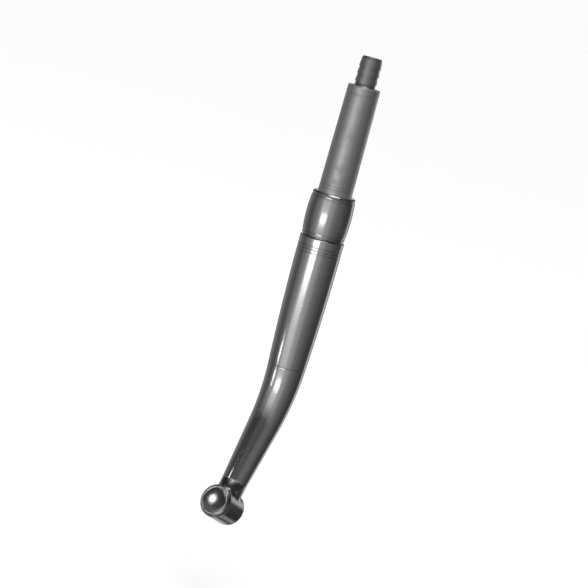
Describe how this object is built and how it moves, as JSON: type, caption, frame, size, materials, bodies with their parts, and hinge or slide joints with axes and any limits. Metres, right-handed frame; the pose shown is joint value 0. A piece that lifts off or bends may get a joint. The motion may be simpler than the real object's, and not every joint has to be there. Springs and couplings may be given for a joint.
{
  "type": "high speed handpiece",
  "caption": "Slim all-metal dental air turbine handpiece with a bent neck, a small push-button head and a barrel-shaped union nut on its hose-end sleeve.",
  "frame": {"origin": "middle of the tail sleeve's top face, where the hose jacket stops on its spigot", "axes": "+Z along the handle towards the hose; -X is the side the neck bends to and the push button faces; +X is the bur side"},
  "size_m": [0.0268, 0.0132, 0.1406],
  "materials": {
    "sleeve_steel": "satin",
    "nut_steel": "polished",
    "handle_steel": "polished",
    "head_steel": "polished",
    "cap_steel": "polished",
    "button_steel": "satin",
    "spigot_steel": "turned",
    "connector_brass": "nickel plated",
    "tube_steel": "drawn",
    "gasket_rubber": "matte",
    "seal_rubber": "matte",
    "washer_steel": "flat",
    "spacer_plastic": "matte",
    "bearing_steel": "ground",
    "ball_ceramic": "polished ceramic",
    "cage_polymer": "matte",
    "rotor_steel": "turned",
    "impeller_metal": "milled",
    "spring_steel": "wire"
  },
  "bodies": {
    "root": {"hose_spigot": "spigot_steel", "tail_sleeve": "sleeve_steel", "port_block": "connector_brass", "stub_drive_air": "tube_steel", "stub_exhaust": "tube_steel", "stub_chip_air": "tube_steel", "stub_water": "tube_steel", "port_gasket": "gasket_rubber", "rear_connector": "connector_brass", "connector_o_ring": "seal_rubber", "handle_shell": "handle_steel", "neck_shell": "handle_steel", "drive_air_tube": "tube_steel", "chip_air_tube": "tube_steel", "water_tube": "tube_steel", "tube_spacer": "spacer_plastic", "head_housing": "head_steel", "head_cap": "cap_steel", "cap_rim": "cap_steel", "button_spring": "spring_steel", "preload_washer": "spring_steel", "front_outer_race": "bearing_steel", "front_o_ring": "seal_rubber", "rear_outer_race": "bearing_steel", "rear_o_ring": "seal_rubber"},
    "nut_carrier": {"thrust_washer": "washer_steel"},
    "nut": {"union_nut": "nut_steel"},
    "rotor": {"spindle": "rotor_steel", "impeller": "impeller_metal", "chuck": "rotor_steel", "front_inner_race": "bearing_steel", "rear_inner_race": "bearing_steel"},
    "plunger": {"chuck_plunger": "rotor_steel"},
    "front_ball_set": {"front_balls": "ball_ceramic", "front_cage": "cage_polymer"},
    "rear_ball_set": {"rear_balls": "ball_ceramic", "rear_cage": "cage_polymer"},
    "button": {"push_button": "button_steel"}
  },
  "joints": [
    {"name": "nut_travel", "type": "slide", "parent": "root", "child": "nut_carrier", "axis": [0, 0, 1], "range_m": [0, 0.0075]},
    {"name": "nut_turn", "type": "hinge", "parent": "nut_carrier", "child": "nut", "pos_m": [0, 0, -0.038], "axis": [0, 0, 1], "continuous": true},
    {"name": "rotor_spin", "type": "hinge", "parent": "root", "child": "rotor", "pos_m": [-0.01359, 0, -0.1258], "axis": [0.9239, 0, -0.3827], "continuous": true},
    {"name": "front_balls_roll", "type": "hinge", "parent": "root", "child": "front_ball_set", "pos_m": [-0.01085, 0, -0.12693], "axis": [0.9239, 0, -0.3827], "continuous": true},
    {"name": "rear_balls_roll", "type": "hinge", "parent": "root", "child": "rear_ball_set", "pos_m": [-0.01584, 0, -0.12486], "axis": [0.9239, 0, -0.3827], "continuous": true},
    {"name": "button_press", "type": "slide", "parent": "root", "child": "button", "axis": [0.9239, 0, -0.3827], "range_m": [0, 0.0004], "stiffness_N_per_m": 800, "springref_m": -0.0006, "deforming": ["button_spring"]},
    {"name": "plunger_slide", "type": "slide", "parent": "rotor", "child": "plunger", "axis": [0.9239, 0, -0.3827], "range_m": [0, 0.0004]}
  ],
  "couplings": [
    {"joint": "front_balls_roll", "follows": "rotor_spin", "ratio": 0.39496},
    {"joint": "rear_balls_roll", "follows": "rotor_spin", "ratio": 0.39496},
    {"joint": "plunger_slide", "follows": "button_press", "ratio": 1}
  ]
}
